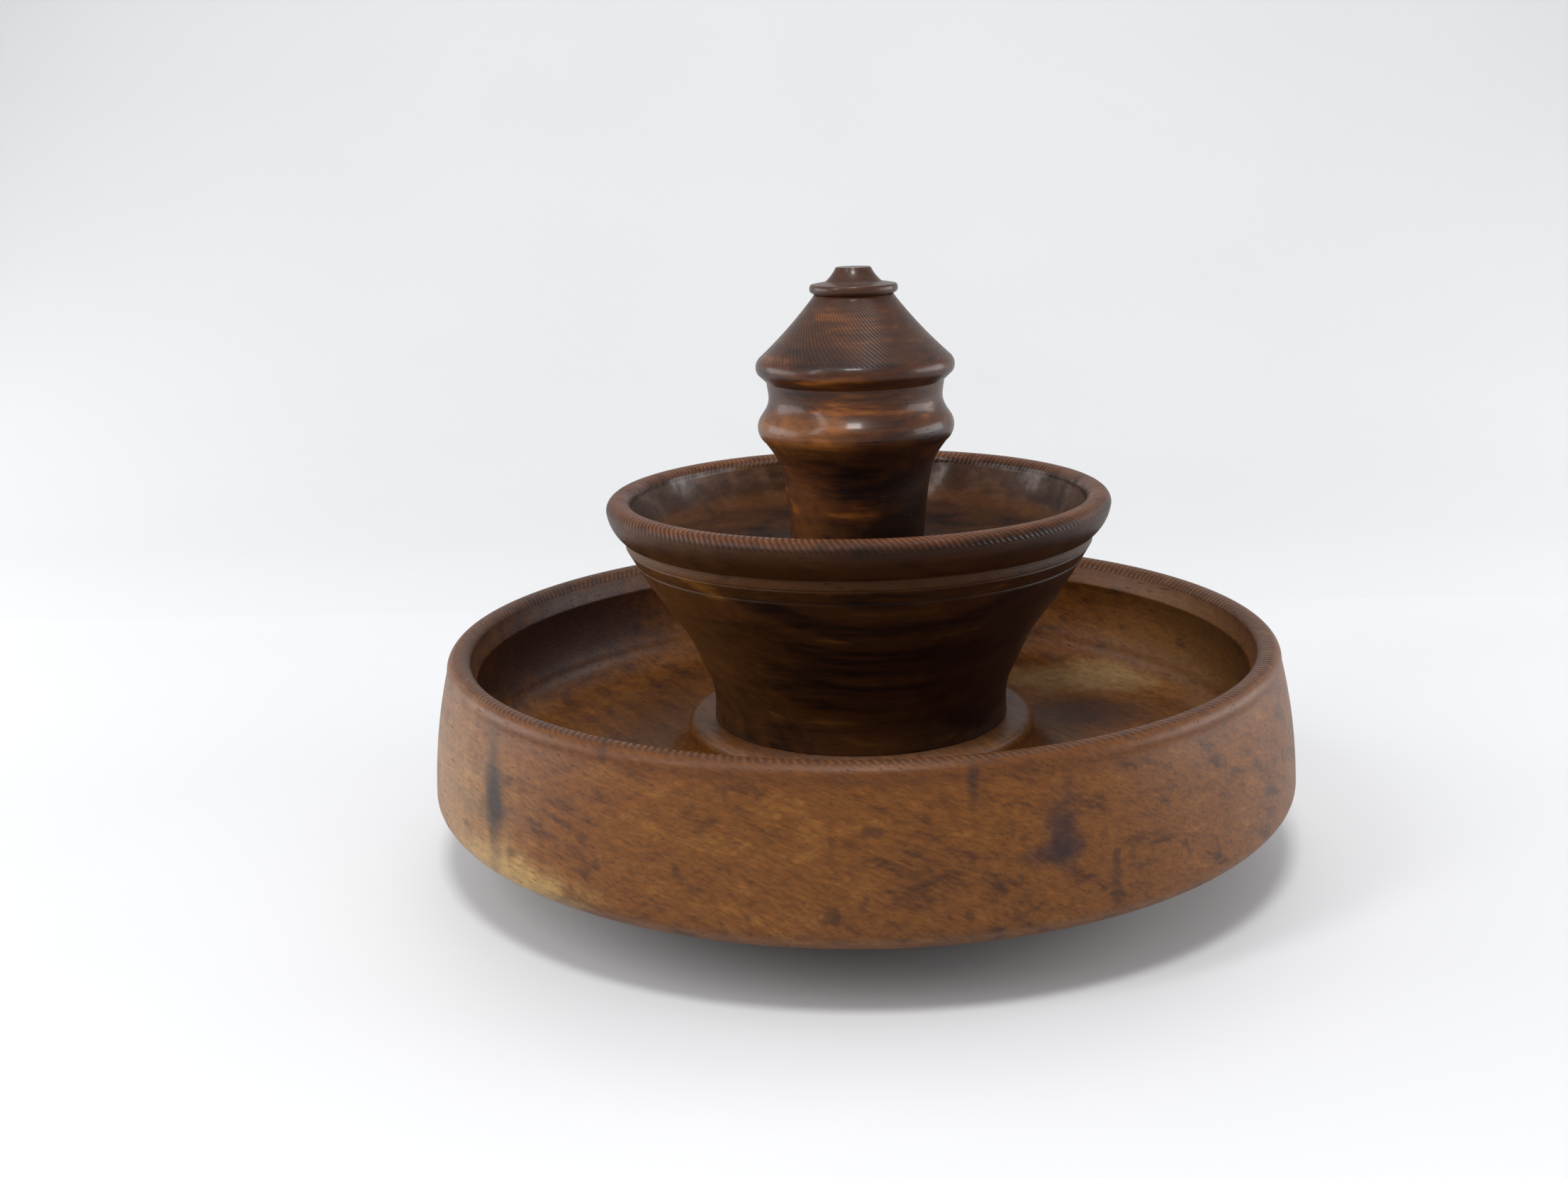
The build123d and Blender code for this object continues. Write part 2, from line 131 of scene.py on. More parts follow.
class Board:
    """The node board of one procedural material."""

    def __init__(self, name: str) -> None:
        """Start an empty material of that name."""
        self.material = bpy.data.materials.new(name)
        self.material.use_nodes = True
        self.tree = self.material.node_tree
        self.tree.nodes.clear()
        self.place = self.add("ShaderNodeTexCoord", {}, {}, "Object")
        parts = self.add_node("ShaderNodeSeparateXYZ", {}, {"Vector": self.place})
        self.x = Wire(self, parts.outputs["X"])
        self.y = Wire(self, parts.outputs["Y"])
        self.z = Wire(self, parts.outputs["Z"])

    def add_node(self, kind: str, settings: dict, values: dict) -> bpy.types.Node:
        """Add a node: its type, its settings, then the values or links of its sockets.

        Args:
            kind: The node's type name.
            settings: Attributes set before the sockets.
            values: Socket name or index to a number, tuple or wire.

        Returns:
            The node.
        """
        node = self.tree.nodes.new(kind)
        for key, value in settings.items():
            setattr(node, key, value)
        for key, value in values.items():
            socket = node.inputs[key]
            if isinstance(value, Wire):
                self.tree.links.new(value.socket, socket)
            elif isinstance(value, tuple) and socket.type == "RGBA":
                socket.default_value = (*value[:3], 1.0)
            else:
                socket.default_value = value
        return node

    def add(self, kind: str, settings: dict, values: dict, output: str | int = 0) -> Wire:
        """Add a node and return one of its outputs as a wire."""
        return Wire(self, self.add_node(kind, settings, values).outputs[output])

    def maths(self, operation: str, *terms: "Wire | float") -> Wire:
        """Add a Math node and return its result."""
        return self.add("ShaderNodeMath", {"operation": operation}, dict(enumerate(terms)))

    def vector(self, operation: str, *terms: "Wire | Place", output: str = "Vector") -> Wire:
        """Add a Vector Math node and return its result."""
        values = dict(enumerate(terms))
        return self.add("ShaderNodeVectorMath", {"operation": operation}, values, output)

    def tint(self, factor: Wire, first: "Wire | Colour", second: "Wire | Colour") -> Wire:
        """Mix two colours.

        Args:
            factor: Share of the second colour.
            first: A colour or a wire.
            second: A colour or a wire.

        Returns:
            The mixed colour.
        """
        settings = {"data_type": "RGBA", "blend_type": "MIX", "clamp_factor": True}
        return self.add("ShaderNodeMix", settings, {0: factor, 6: first, 7: second}, 2)

    def cloud(self, vector: Wire, size: float, detail: float = 2.0, rough: float = 0.5) -> Wire:
        """Return cloudy noise from 0 to 1.

        Args:
            vector: Where it is read, in metres.
            size: Size of its cells in millimetres.
            detail: Number of finer layers.
            rough: Strength of the finer layers.

        Returns:
            A wire.
        """
        values = {"Vector": vector, "Scale": 1.0 / (size * MM), "Detail": detail}
        return self.add("ShaderNodeTexNoise", {}, {**values, "Roughness": rough}, "Fac")

    def drawn_out(self, vector: Wire, share: float) -> Wire:
        """Return a vector that makes a pattern longer along the grain, by 1 over the share."""
        return self.vector("MULTIPLY", vector, (1.0, share, 1.0))

    def bump(self, height: Wire, strength: float, distance: float) -> Wire:
        """Return the normal of a relief whose height of 1 stands a distance out, in metres."""
        values = {"Strength": strength, "Distance": distance, "Height": height}
        return self.add("ShaderNodeBump", {}, values, "Normal")

    def radius(self) -> Wire:
        """Return the distance from the turning axis, in metres."""
        flat = self.vector("MULTIPLY", self.place, (1.0, 1.0, 0.0))
        return self.vector("LENGTH", flat, output="Value")

    def angle(self) -> Wire:
        """Return the angle round the turning axis, in radians."""
        return self.maths("ARCTAN2", self.y, self.x)

    def surface(self, values: dict) -> bpy.types.Material:
        """Finish the material with one Principled shader.

        Args:
            values: The shader's socket values and links.

        Returns:
            The material.
        """
        shader = self.add("ShaderNodeBsdfPrincipled", {}, values, "BSDF")
        self.add_node("ShaderNodeOutputMaterial", {}, {"Surface": shader})
        return self.material


# ---- Finishes --------------------------------


# Share of its length across the grain that a pattern keeps along the grain.
RING_SHARE_ALONG = 0.06
STREAK_SHARE_ALONG = 0.07
HAIR_SHARE_ALONG = 0.045
MOTTLE_SHARE_ALONG = 0.25
PORE_SHARE_ALONG = 0.11
FLECK_STRETCH = (1.0, 0.3, 0.8)
PORES_PER_METRE = 720.0
BENDS_PER_METRE = 14.0
# How softly a real or painted-light patch ends at its limit, in millimetres.
LIMIT_FADE = 1.0
# How far a relief stands out, in metres.
WOOD_RELIEF = 0.00012
FELT_RELIEF = 0.0002
CARD_RELIEF = 0.0001
SMOOTH_RELIEF = 0.00003


@dataclass(frozen=True)
class StainOrPaintedLight:
    """A soft-edged patch of another colour: real staining such as a knot or a sapwood streak, or
    painted shade or a painted highlight.

    Centre and reach are in millimetres. Within and beyond, when they are not 0, keep it inside or
    outside that radius from the turning axis, so that it shows on one side of a wall.
    """

    centre: Place
    reach: Place
    colour: Colour = (0.0, 0.0, 0.0)
    strength: float = 1.0
    soft: float = 0.5
    ragged: float = 0.35
    within: float = 0.0
    beyond: float = 0.0


@dataclass(frozen=True)
class ToolMarks:
    """Fine lines left by a scraper between two heights and two radii, in millimetres."""

    heights: Point
    radii: Point
    count: int
    slant: float
    depth: float
    shade: float
    fade: float = 0.5


@dataclass(frozen=True)
class WoodFinish:
    """Waxed open-pored wood. Sizes are in millimetres, colours are linear."""

    name: str
    dark: Colour
    middle: Colour
    light: Colour
    pore: Colour
    grain: Place
    pith: Point
    ring: float
    tone: Point = (0.3, 0.7)
    ring_share: float = 0.45
    streak_share: float = 0.35
    mottle_share: float = 0.2
    mottle_size: float = 3.2
    lean: float = 24.0
    flat: float = 2.8
    cloud_size: float = 45.0
    streak_size: float = 7.0
    bend: float = 8.0
    fibre_strength: float = 0.22
    fur_strength: float = 0.3
    pore_strength: float = 0.35
    fleck_level: float = 0.66
    fleck_strength: float = 0.6
    fleck_size: float = 5.0
    stains_and_painted_light: tuple[StainOrPaintedLight, ...] = ()
    marks: tuple[ToolMarks, ...] = ()
    rough: Point = (0.36, 0.52)
    gloss: float = 0.2
    coat: float = 0.0
    waxed: StainOrPaintedLight | None = None
    seed: Place = (0.0, 0.0, 0.0)

    def patch_mask(self, board: Board, blotch: StainOrPaintedLight, wobble: Wire) -> Wire:
        """Return where a patch of real staining or painted light lies.

        Args:
            board: The material's board.
            blotch: The patch, real staining or painted light.
            wobble: Noise about 0 that makes its edge ragged.

        Returns:
            A mask from 0 to its strength.
        """
        centre = tuple(v * MM for v in blotch.centre)
        away = board.vector("SUBTRACT", board.place, centre)
        scaled = board.vector("DIVIDE", away, tuple(v * MM for v in blotch.reach))
        far = board.vector("LENGTH", scaled, output="Value") + wobble * blotch.ragged
        mask = far.step(1.0 + blotch.soft, 1.0 - blotch.soft) * blotch.strength
        for limit, fade in ((blotch.within, -LIMIT_FADE), (blotch.beyond, LIMIT_FADE)):
            if limit:
                mask = mask * board.radius().step((limit - fade) * MM, (limit + fade) * MM)
        return mask

    def tool_lines(self, board: Board, marks: ToolMarks) -> tuple[Wire, Wire]:
        """Return the lines of one zone of tool marks and the mask of the zone."""
        radius = board.radius()
        low, high = (v * MM for v in marks.heights)
        near, far = (v * MM for v in marks.radii)
        fade = marks.fade * MM
        zone = board.z.step(low - fade, low + fade) * board.z.step(high + fade, high - fade)
        zone = zone * radius.step(near - fade, near + fade) * radius.step(far + fade, far - fade)
        drift = board.cloud(board.place, 14.0, 1.0) * 5.0
        rise = board.z - radius * 0.5
        phase = board.angle() * float(marks.count) + rise * (marks.slant / MM) + drift
        return phase.wave(), zone

    def _bent(self, board: Board) -> Wire:
        """Return places in the block of wood: Y runs along the grain, which wanders a little."""
        values = {
            "Vector": board.place,
            "Rotation": tuple(math.radians(v) for v in self.grain),
            "Location": tuple(v * MM for v in self.seed),
        }
        block = board.add("ShaderNodeMapping", {}, values)
        values = {"Vector": block, "Scale": BENDS_PER_METRE, "Detail": 1.0}
        bend = board.add("ShaderNodeTexNoise", {}, values, "Color")
        bend = board.vector("SUBTRACT", bend, (0.5, 0.5, 0.5))
        bend = board.vector("MULTIPLY", bend, (self.bend * MM, 2 * self.bend * MM, self.bend * MM))
        return board.vector("ADD", block, bend)

    def _rings(self, board: Board, bent: Wire) -> Wire:
        """Return the year rings round the pith, as bands from 0 to 1."""
        pith = board.vector("SUBTRACT", bent, (self.pith[0] * MM, 0.0, self.pith[1] * MM))
        across = board.drawn_out(pith, RING_SHARE_ALONG)
        depth = board.vector("LENGTH", across, output="Value") * (1.0 / (self.ring * MM))
        values = {"W": depth, "Scale": 1.0, "Detail": 3.0, "Roughness": 0.6}
        return board.add("ShaderNodeTexNoise", {"noise_dimensions": "1D"}, values, "Fac")

    def _figure(self, board: Board, bent: Wire, leaning: Wire, short_ways: Wire) -> Wire:
        """Return the colour before staining, painted light, pores and marks, from places in the
        block of wood.
        """
        rings = self._rings(board, bent)
        long_ways = board.drawn_out(leaning, STREAK_SHARE_ALONG)
        streaks = board.cloud(long_ways, self.streak_size, 3.0, 0.6)
        clouds = board.cloud(bent, self.cloud_size, 2.0, 0.55)
        mottle = board.cloud(short_ways, self.mottle_size, 3.0, 0.65)
        rest = 1.0 - self.ring_share - self.streak_share - self.mottle_share
        tone = rings * self.ring_share + streaks * self.streak_share + mottle * self.mottle_share
        tone = tone + clouds * rest
        low, high = self.tone
        half = (low + high) / 2
        colour = board.tint(tone.step(low, half), self.dark, self.middle)
        return board.tint(tone.step(half, high), colour, self.light)

    def _pores(self, board: Board, bent: Wire) -> Wire:
        """Return the mask of the open pores: short slits along the grain."""
        values = {"Vector": board.drawn_out(bent, PORE_SHARE_ALONG), "Scale": PORES_PER_METRE}
        cells = board.add_node("ShaderNodeTexVoronoi", {"feature": "F1"}, values)
        near = Wire(board, cells.outputs["Distance"])
        chance = Wire(board, cells.outputs["Color"])
        chance = board.vector("DOT_PRODUCT", chance, (1.0, 0.0, 0.0), output="Value")
        return near.step(0.30, 0.10) * chance.step(0.45, 0.7)

    def make(self) -> bpy.types.Material:
        """Build the wood's material."""
        board = Board(self.name)
        bent = self._bent(board)
        values = {
            "Vector": bent,
            "Rotation": (0.0, math.radians(self.lean), 0.0),
            "Scale": (self.flat, 1.0, 1.0),
        }
        leaning = board.add("ShaderNodeMapping", {"vector_type": "TEXTURE"}, values)
        short_ways = board.drawn_out(leaning, MOTTLE_SHARE_ALONG)
        colour = self._figure(board, bent, leaning, short_ways)

        wobble = board.cloud(board.place, 6.0, 3.0, 0.6) - 0.5
        # Lay each patch: real staining, knots and sapwood, and painted shade and painted
        # highlights.
        for blotch in self.stains_and_painted_light:
            colour = board.tint(self.patch_mask(board, blotch, wobble * 2.0), colour, blotch.colour)

        hair = board.cloud(board.drawn_out(leaning, HAIR_SHARE_ALONG), 0.9, 2.0, 0.6)
        fur = board.cloud(short_ways, 0.8, 3.0, 0.65)
        fibre = (hair - 0.5) * (2.0 * self.fibre_strength) + 1.0
        fibre = fibre + (fur - 0.5) * (2.0 * self.fur_strength)
        values = {0: colour, "Scale": fibre}
        colour = board.add("ShaderNodeVectorMath", {"operation": "SCALE"}, values, "Vector")

        pores = self._pores(board, bent)
        colour = board.tint(pores * self.pore_strength, colour, self.pore)
        fleck_space = board.vector("MULTIPLY", bent, FLECK_STRETCH)
        flecks = board.cloud(fleck_space, self.fleck_size, 1.0, 0.45)
        flecks = flecks.step(self.fleck_level, self.fleck_level + 0.1)
        colour = board.tint(flecks * self.fleck_strength, colour, self.pore)

        height = hair * 0.35 - pores * 0.8 - flecks * 0.15
        for marks in self.marks:
            line, zone = self.tool_lines(board, marks)
            colour = board.tint(line * zone * marks.shade, colour, self.pore)
            height = height + line * zone * marks.depth
        wear = board.cloud(board.place, 30.0, 3.0, 0.6)
        low, high = self.rough
        rough = wear * (high - low) + low + pores * 0.15
        coat = self.coat
        if self.waxed:
            coat = self.patch_mask(board, self.waxed, wobble) + self.coat
        return board.surface({
            "Base Color": colour,
            "Roughness": rough,
            "Normal": board.bump(height, 0.5, WOOD_RELIEF),
            "Coat Weight": coat,
            "Coat Roughness": 0.12,
            "Specular IOR Level": self.gloss,
        })


@dataclass(frozen=True)
class MetalFinish:
    """Plated, turned or polished metal."""

    name: str
    colour: Colour
    blotch: Colour
    rough: Point
    scratch: float = 0.3

    def make(self) -> bpy.types.Material:
        """Build the metal's material."""
        board = Board(self.name)
        bloom = board.cloud(board.place, 5.0, 3.0, 0.6)
        colour = board.tint(bloom.step(0.4, 0.75) * 0.5, self.colour, self.blotch)
        turning = board.vector("MULTIPLY", board.place, (1.0, 1.0, 6.0))
        scratches = board.cloud(turning, 0.5, 2.0, 0.7)
        low, high = self.rough
        rough = bloom * (high - low) + low
        bump = board.bump(scratches, self.scratch, SMOOTH_RELIEF)
        return board.surface(
            {"Base Color": colour, "Metallic": 1.0, "Roughness": rough, "Normal": bump}
        )


@dataclass(frozen=True)
class MouldedFinish:
    """Moulded nylon with a faint mottle."""

    name: str
    colour: Colour
    shade: Colour

    def make(self) -> bpy.types.Material:
        """Build the plastic's material."""
        board = Board(self.name)
        mottle = board.cloud(board.place, 3.0, 2.0, 0.5)
        grain = board.cloud(board.place, 0.3, 2.0, 0.5)
        colour = board.tint(mottle.step(0.35, 0.7), self.colour, self.shade)
        bump = board.bump(grain, 0.3, SMOOTH_RELIEF)
        rough = grain * 0.15 + 0.4
        return board.surface({"Base Color": colour, "Roughness": rough, "Normal": bump})


@dataclass(frozen=True)
class FeltFinish:
    """Pressed wool felt: short fibres lying all ways, lint and a soft edge sheen."""

    name: str
    colour: Colour
    lint: Colour

    def make(self) -> bpy.types.Material:
        """Build the felt's material."""
        board = Board(self.name)
        one = board.cloud(board.drawn_out(board.place, 0.15), 0.4, 3.0, 0.7)
        two = board.cloud(board.vector("MULTIPLY", board.place, (0.15, 1.0, 1.0)), 0.4, 3.0, 0.7)
        mat = board.maths("MAXIMUM", one, two)
        patches = board.cloud(board.place, 9.0, 2.0, 0.5)
        colour = board.tint(mat.step(0.5, 0.8) * 0.7, self.colour, self.lint)
        colour = board.tint(patches.step(0.45, 0.7) * 0.4, colour, self.colour)
        return board.surface({
            "Base Color": colour,
            "Roughness": mat * 0.1 + 0.85,
            "Normal": board.bump(mat, 0.8, FELT_RELIEF),
            "Sheen Weight": 0.4,
            "Sheen Roughness": 0.6,
        })


@dataclass(frozen=True)
class CardFinish:
    """Matt white card or table top, with a faint unevenness."""

    name: str
    colour: Colour
    shade: Colour

    def make(self) -> bpy.types.Material:
        """Build the card's material."""
        board = Board(self.name)
        uneven = board.cloud(board.place, 260.0, 2.0, 0.5)
        tooth = board.cloud(board.place, 1.2, 2.0, 0.5)
        colour = board.tint(uneven.step(0.3, 0.7), self.colour, self.shade)
        bump = board.bump(tooth, 0.1, CARD_RELIEF)
        rough = uneven * 0.1 + 0.6
        return board.surface({"Base Color": colour, "Roughness": rough, "Normal": bump})


# ---- Turning ---------------------------------


class Outline:
    """A half outline, drawn point by point as radius and height in millimetres."""

    def __init__(self, start: Point, pitch: float = 0.9) -> None:
        """Start the outline at a point. The pitch is the longest step between curve points."""
        self.points: list[Point] = [start]
        self.pitch = pitch

    def _walk(self, points: list[Point]) -> None:
        """Add points, leaving out any that repeats the last one."""
        for point in points:
            if math.dist(point, self.points[-1]) > 1e-4:
                self.points.append(point)

    def lines(self, *ends: Point) -> "Outline":
        """Draw straight runs to each end in turn."""
        for end in ends:
            start = self.points[-1]
            count = max(1, math.ceil(math.dist(start, end) / (4 * self.pitch)))
            shares = [k / count for k in range(1, count + 1)]
            self._walk([
                (start[0] + (end[0] - start[0]) * t, start[1] + (end[1] - start[1]) * t)
                for t in shares
            ])
        return self

    def arc(self, middle: Point, end: Point) -> "Outline":
        """Draw a circle's arc through a middle point to an end."""
        a, b, c = (complex(*p) for p in (self.points[-1], middle, end))
        w = (c - a) / (b - a)
        if abs(w.imag) < 1e-9:
            return self.lines(end)
        centre = (b - a) * (w - abs(w) ** 2) / (2j * w.imag) + a
        radius = abs(a - centre)
        first = math.atan2((a - centre).imag, (a - centre).real)
        mid = math.atan2((b - centre).imag, (b - centre).real)
        last = math.atan2((c - centre).imag, (c - centre).real)
        turn = (last - first) % math.tau
        if (mid - first) % math.tau > turn:
            turn -= math.tau
        count = max(4, math.ceil(abs(turn) * radius / self.pitch))
        angles = [first + turn * k / count for k in range(1, count + 1)]
        self._walk([(centre.real + radius * math.cos(t), centre.imag + radius * math.sin(t))
                    for t in angles])
        return self

    def curve(self, *through: Point, out: Point | None = None,
              into: Point | None = None) -> "Outline":
        """Draw a smooth curve through points.

        Args:
            through: The points after the current one.
            out: Direction at the start, or None for a free end.
            into: Direction at the end, or None for a free end.

        Returns:
            The outline.
        """
        knots = np.array([self.points[-1], *through], float)
        gaps = np.linalg.norm(np.diff(knots, axis=0), axis=1)
        slopes = np.diff(knots, axis=0) / gaps[:, None]
        size = len(knots)
        system = np.zeros((size, size))
        right = np.zeros((size, 2))
        for k in range(1, size - 1):
            system[k, k - 1] = gaps[k]
            system[k, k] = 2 * (gaps[k - 1] + gaps[k])
            system[k, k + 1] = gaps[k - 1]
            right[k] = 3 * (gaps[k] * slopes[k - 1] + gaps[k - 1] * slopes[k])
        ends = ((0, 1, out, slopes[0]), (size - 1, size - 2, into, slopes[-1]))
        for row, other, direction, slope in ends:
            if direction is None:
                system[row, row], system[row, other] = 2.0, 1.0
                right[row] = 3 * slope
            else:
                system[row, row] = 1.0
                right[row] = np.array(direction) / np.linalg.norm(direction)
        tangents = np.linalg.solve(system, right)
        for k, gap in enumerate(gaps):
            count = max(2, math.ceil(gap / self.pitch))
            for t in (j / count for j in range(1, count + 1)):
                a, b = knots[k], knots[k + 1]
                p = (
                    a * (1 + 2 * t) * (1 - t) ** 2
                    + b * t * t * (3 - 2 * t)
                    + tangents[k] * gap * t * (1 - t) ** 2
                    - tangents[k + 1] * gap * t * t * (1 - t)
                )
                self._walk([(float(p[0]), float(p[1]))])
        return self

    def groove(self, centre: Point, radius: float) -> "Outline":
        """Sink a round groove into the part of the outline that passes a centre."""
        inside = [k for k, p in enumerate(self.points) if math.dist(p, centre) < radius]
        if not inside:
            return self
        first, last = inside[0] - 1, inside[-1] + 1
        a, b = self.points[first], self.points[last]
        start = math.atan2(a[1] - centre[1], a[0] - centre[0])
        end = math.atan2(b[1] - centre[1], b[0] - centre[0])
        turn = (end - start) % math.tau
        if not start < math.pi < start + turn and not start < -math.pi < start + turn:
            turn -= math.tau
        count = 8
        angles = [start + turn * k / count for k in range(count + 1)]
        self.points[first + 1:last] = [
            (centre[0] + radius * math.cos(t), centre[1] + radius * math.sin(t)) for t in angles
        ]
        return self

    def eased(self, radius: float, least: float = 28.0) -> list[Point]:
        """Return the closed outline with its sharp corners rounded a little.

        Args:
            radius: How far back from a corner its rounding starts.
            least: Smallest turn, in degrees, that counts as a corner.

        Returns:
            The points.
        """
        done: list[Point] = []
        count = len(self.points)
        for k, p in enumerate(self.points):
            before, after = self.points[k - 1], self.points[(k + 1) % count]
            back = (before[0] - p[0], before[1] - p[1])
            ahead = (after[0] - p[0], after[1] - p[1])
            back_long, ahead_long = math.hypot(*back), math.hypot(*ahead)
            cosine = -(back[0] * ahead[0] + back[1] * ahead[1]) / (back_long * ahead_long)
            turn = math.degrees(math.acos(max(-1.0, min(1.0, cosine))))
            if turn < least or p[0] < 1e-6:
                done.append(p)
                continue
            u = min(radius, back_long * 0.4) / back_long
            v = min(radius, ahead_long * 0.4) / ahead_long
            start = (p[0] + back[0] * u, p[1] + back[1] * u)
            end = (p[0] + ahead[0] * v, p[1] + ahead[1] * v)
            for t in (0.0, 0.25, 0.5, 0.75, 1.0):
                done.append(tuple(
                    start[i] * (1 - t) ** 2 + 2 * p[i] * t * (1 - t) + end[i] * t * t
                    for i in (0, 1)
                ))
        return done


def stand(name: str, mesh: bmesh.types.BMesh) -> bpy.types.Object:
    """Stand a finished bmesh in the scene as an object at the origin, and free the bmesh."""
    data = bpy.data.meshes.new(name)
    mesh.to_mesh(data)
    mesh.free()
    piece = bpy.data.objects.new(name, data)
    bpy.context.scene.collection.objects.link(piece)
    return piece


@dataclass
class Lathe:
    """Turns an outline about the vertical axis into one closed piece.

    The wander is how far the wood has moved since, in millimetres, over swells of wander_size.
    Nothing nearer to the axis than true_within moves. Edges past sharp_from degrees stay sharp.
    """

    steps: int = 256
    wander: float = 0.04
    wander_size: float = 26.0
    true_within: float = 22.0
    sharp_from: float = 48.0

    def turn(self, name: str, points: list[Point], closed: bool) -> bpy.types.Object:
        """Spin an outline into a mesh.

        Args:
            name: The piece's name.
            points: Radius and height of each outline point, in millimetres.
            closed: True if the last point joins the first, False if both lie on the axis.

        Returns:
            The piece, at the origin.
        """
        mesh = bmesh.new()
        verts = [mesh.verts.new((r * MM, 0.0, z * MM)) for r, z in points]
        pairs = list(zip(verts, verts[1:]))
        if closed:
            pairs.append((verts[-1], verts[0]))
        edges = [mesh.edges.new(pair) for pair in pairs]
        bmesh.ops.spin(
            mesh, geom=verts + edges, cent=(0, 0, 0), axis=(0, 0, 1), dvec=(0, 0, 0),
            angle=math.tau, steps=self.steps, use_merge=True,
        )
        bmesh.ops.remove_doubles(mesh, verts=mesh.verts, dist=1e-6)
        bmesh.ops.dissolve_degenerate(mesh, dist=1e-7, edges=mesh.edges)
        for vert in mesh.verts:
            self._wander(vert)
        bmesh.ops.recalc_face_normals(mesh, faces=mesh.faces)
        for face in mesh.faces:
            face.smooth = True
        piece = stand(name, mesh)
        piece.data.set_sharp_from_angle(angle=math.radians(self.sharp_from))
        return piece

    def _wander(self, vert: bmesh.types.BMVert) -> None:
        """Move a vertex in or out a little, as wood moves after it is turned. Bores stay true."""
        if vert.co.xy.length < self.true_within * MM:
            return
        shift = noise.noise(vert.co / (self.wander_size * MM)) * self.wander * MM
        vert.co.xy += vert.co.xy.normalized() * shift


def dress(piece: bpy.types.Object, material: bpy.types.Material) -> None:
    """Give a piece one material."""
    piece.data.materials.clear()
    piece.data.materials.append(material)


def settle(piece: bpy.types.Object, finish: bpy.types.Material, body: Body,
           node: str) -> None:
    """Dress a new piece, ride it on its body and let it stand for a frame node."""
    dress(piece, finish)
    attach(piece, body.value)
    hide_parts(node)
    LOG.info("%s: %d faces, rides on %s", piece.name, len(piece.data.polygons), body.value)


def carry(name: str, material: bpy.types.Material) -> None:
    """Dress a frame node that keeps its own shape."""
    dress(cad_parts[name], material)
    LOG.info("%s: frame node with %s", name, material.name)


# ---- Palette ---------------------------------

DISH_WOOD = WoodFinish(
    name="waxed_brown_wood",
    dark=(0.050, 0.017, 0.006),
    middle=(0.122, 0.042, 0.008),
    light=(0.178, 0.070, 0.014),
    pore=(0.016, 0.009, 0.008),
    grain=(0.0, 0.0, -30.0),
    pith=(30.0, -110.0),
    ring=3.0,
    tone=(0.36, 0.67),
    cloud_size=32.0,
    fleck_strength=0.42,
    ring_share=0.15,
    streak_share=0.40,
    mottle_share=0.22,
    streak_size=4.0,
    fur_strength=0.6,
    stains_and_painted_light=(
        StainOrPaintedLight((0, 0, 64.5), (200, 200, 6.5), (0.088, 0.028, 0.006), 0.7, 0.3, 0.4),
        StainOrPaintedLight((-94, -84, 24.5), (25, 25, 5.5), (0.36, 0.24, 0.09), 0.65, 0.8, 0.8, beyond=119.5),
        StainOrPaintedLight((-112, -58, 34), (24, 40, 22), (0.28, 0.165, 0.075), 0.5, 0.8, 0.9, beyond=119.5),
        StainOrPaintedLight((-95.5, -82, 43), (3.2, 8, 7.0), (0.014, 0.012, 0.014), 0.9, 0.7, 0.5),
        StainOrPaintedLight((-96, -80, 44), (2.0, 8, 18), (0.030, 0.018, 0.014), 0.7, 0.8, 0.5),
        StainOrPaintedLight((47, -116, 47), (4.0, 8, 8.0), (0.022, 0.011, 0.014), 0.75, 0.8, 0.8),
        StainOrPaintedLight((45.5, -117, 41), (6.5, 8, 2.6), (0.018, 0.010, 0.013), 0.75, 0.8, 0.8),
        StainOrPaintedLight((61, -111.5, 32.5), (1.2, 8, 4.2), (0.026, 0.014, 0.011), 0.5, 0.7, 0.8),
        StainOrPaintedLight((26, -119.5, 60), (1.3, 8, 4.2), (0.028, 0.015, 0.011), 0.6, 0.7, 0.8),
        StainOrPaintedLight((74, 30, 28), (24, 13, 3), (0.045, 0.019, 0.013), 0.8, 0.8, 1.0),
        StainOrPaintedLight((84, 68, 28), (30, 14, 3), (0.26, 0.18, 0.085), 0.6, 0.8, 0.9),
        # Painted shade: darker inside back-left wall, partly the wood's own darker colour.
        StainOrPaintedLight((-92, 52, 48), (46, 52, 17), (0.026, 0.012, 0.011), 0.9, 0.5, 0.5, within=119.5),
        # Painted light: lightens the inside right wall, which lies in shade.
        StainOrPaintedLight((104, 44, 46), (24, 50, 15), (0.210, 0.096, 0.026), 0.6, 0.6, 0.6, within=119.5),
        # Painted reflection: pale greyish sheen on the front of the boss's edge.
        StainOrPaintedLight((0, -50, 38), (54, 15, 5), (0.150, 0.088, 0.060), 0.5, 0.8, 0.8),
    ),
    marks=(
        ToolMarks((62.8, 66.2), (113.4, 120.4), count=360, slant=2.2, depth=3.0, shade=0.6),
    ),
)

DARK_FIGURE = {
    "pore": (0.006, 0.003, 0.003),
    "ring_share": 0.2,
    "streak_share": 0.5,
    "mottle_share": 0.1,
    "lean": 0.0,
    "flat": 4.0,
}

